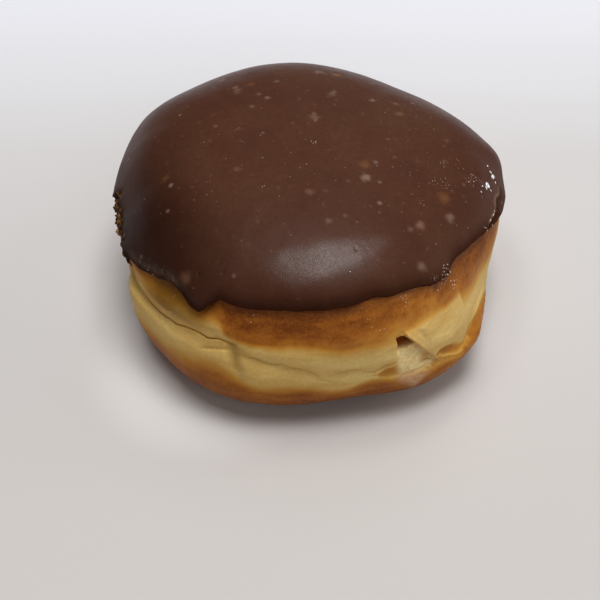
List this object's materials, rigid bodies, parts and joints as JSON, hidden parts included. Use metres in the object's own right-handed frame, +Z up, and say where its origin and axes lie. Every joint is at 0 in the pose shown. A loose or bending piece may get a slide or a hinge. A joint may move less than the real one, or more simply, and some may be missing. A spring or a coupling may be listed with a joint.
{
  "type": "chocolate dipped doughnut",
  "caption": "Round filled yeast doughnut without a hole, its crown dipped in chocolate icing, a pale band round its side and a torn filling hole at the front right",
  "frame": {"origin": "middle of the bounding box's base, on the surface it rests on", "axes": "+Z up, the torn side faces -Y"},
  "size_m": [0.099, 0.1, 0.0491],
  "materials": {
    "fried_dough": "soft fried yeast dough, golden brown on top and below with a pale band between",
    "chocolate_icing": "set chocolate icing with a dull gloss"
  },
  "bodies": {
    "root": {"bun": "fried_dough", "icing": "chocolate_icing"}
  },
  "joints": []
}
